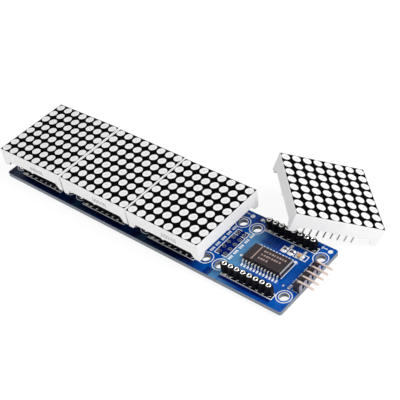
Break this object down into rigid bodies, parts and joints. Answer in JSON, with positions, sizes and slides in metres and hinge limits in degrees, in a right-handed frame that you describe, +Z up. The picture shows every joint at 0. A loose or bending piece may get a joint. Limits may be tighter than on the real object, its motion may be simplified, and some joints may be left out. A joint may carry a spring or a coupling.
{
  "type": "led dot matrix module",
  "caption": "Row of square dot-matrix light displays plugged into one driver board, with the last display unplugged and leaning on its empty sockets.",
  "frame": {"origin": "centre of the board's underside, in the middle of the four mounting holes nearest its corners", "axes": "+X along the board towards the pin header, +Y across it towards the loose display, +Z up through the displays' faces"},
  "size_m": [0.1378, 0.0668, 0.0204],
  "materials": {
    "blue_board": "glossy blue solder mask with white print on glass-fibre board",
    "white_plastic": "satin moulded plastic",
    "black_face": "matt black printed face",
    "milky_resin": "milky cast resin",
    "inner_board": "glass-fibre board",
    "die": "red-brown light-emitting chip",
    "back_resin": "poured milky resin",
    "tinned_pin": "tinned wire",
    "black_plastic": "satin black moulding",
    "contact_metal": "bright tinned turned contact",
    "chip_plastic": "dark brown moulding compound",
    "tinned_lead": "tinned lead",
    "gold_pin": "pale gold plating",
    "black_ceramic": "black glazed resistor",
    "tan_ceramic": "tan ceramic",
    "tinned_end": "tinned end caps",
    "solder": "bright solder"
  },
  "bodies": {
    "root": {"board": "blue_board", "header_block": "black_plastic", "header_pins": "gold_pin", "resistors": "black_ceramic", "capacitors": "tan_ceramic", "chip_ends": "tinned_end", "solder_joints": "solder", "display_1_housing": "white_plastic", "display_1_face_sheet": "black_face", "display_1_light_pipes": "milky_resin", "display_1_circuit": "inner_board", "display_1_dice": "die", "display_1_resin": "back_resin", "display_1_pins": "tinned_pin", "display_2_housing": "white_plastic", "display_2_face_sheet": "black_face", "display_2_light_pipes": "milky_resin", "display_2_circuit": "inner_board", "display_2_dice": "die", "display_2_resin": "back_resin", "display_2_pins": "tinned_pin", "display_3_housing": "white_plastic", "display_3_face_sheet": "black_face", "display_3_light_pipes": "milky_resin", "display_3_circuit": "inner_board", "display_3_dice": "die", "display_3_resin": "back_resin", "display_3_pins": "tinned_pin", "display_4_housing": "white_plastic", "display_4_face_sheet": "black_face", "display_4_light_pipes": "milky_resin", "display_4_circuit": "inner_board", "display_4_dice": "die", "display_4_resin": "back_resin", "display_4_pins": "tinned_pin", "socket_1_near": "black_plastic", "socket_1_far": "black_plastic", "socket_2_near": "black_plastic", "socket_2_far": "black_plastic", "socket_3_near": "black_plastic", "socket_3_far": "black_plastic", "socket_4_near": "black_plastic", "socket_4_far": "black_plastic", "contacts_1_near": "contact_metal", "contacts_1_far": "contact_metal", "contacts_2_near": "contact_metal", "contacts_2_far": "contact_metal", "contacts_3_near": "contact_metal", "contacts_3_far": "contact_metal", "contacts_4_near": "contact_metal", "contacts_4_far": "contact_metal", "driver_1_body": "chip_plastic", "driver_2_body": "chip_plastic", "driver_3_body": "chip_plastic", "driver_4_body": "chip_plastic", "driver_1_leads": "tinned_lead", "driver_2_leads": "tinned_lead", "driver_3_leads": "tinned_lead", "driver_4_leads": "tinned_lead"}
  },
  "joints": []
}
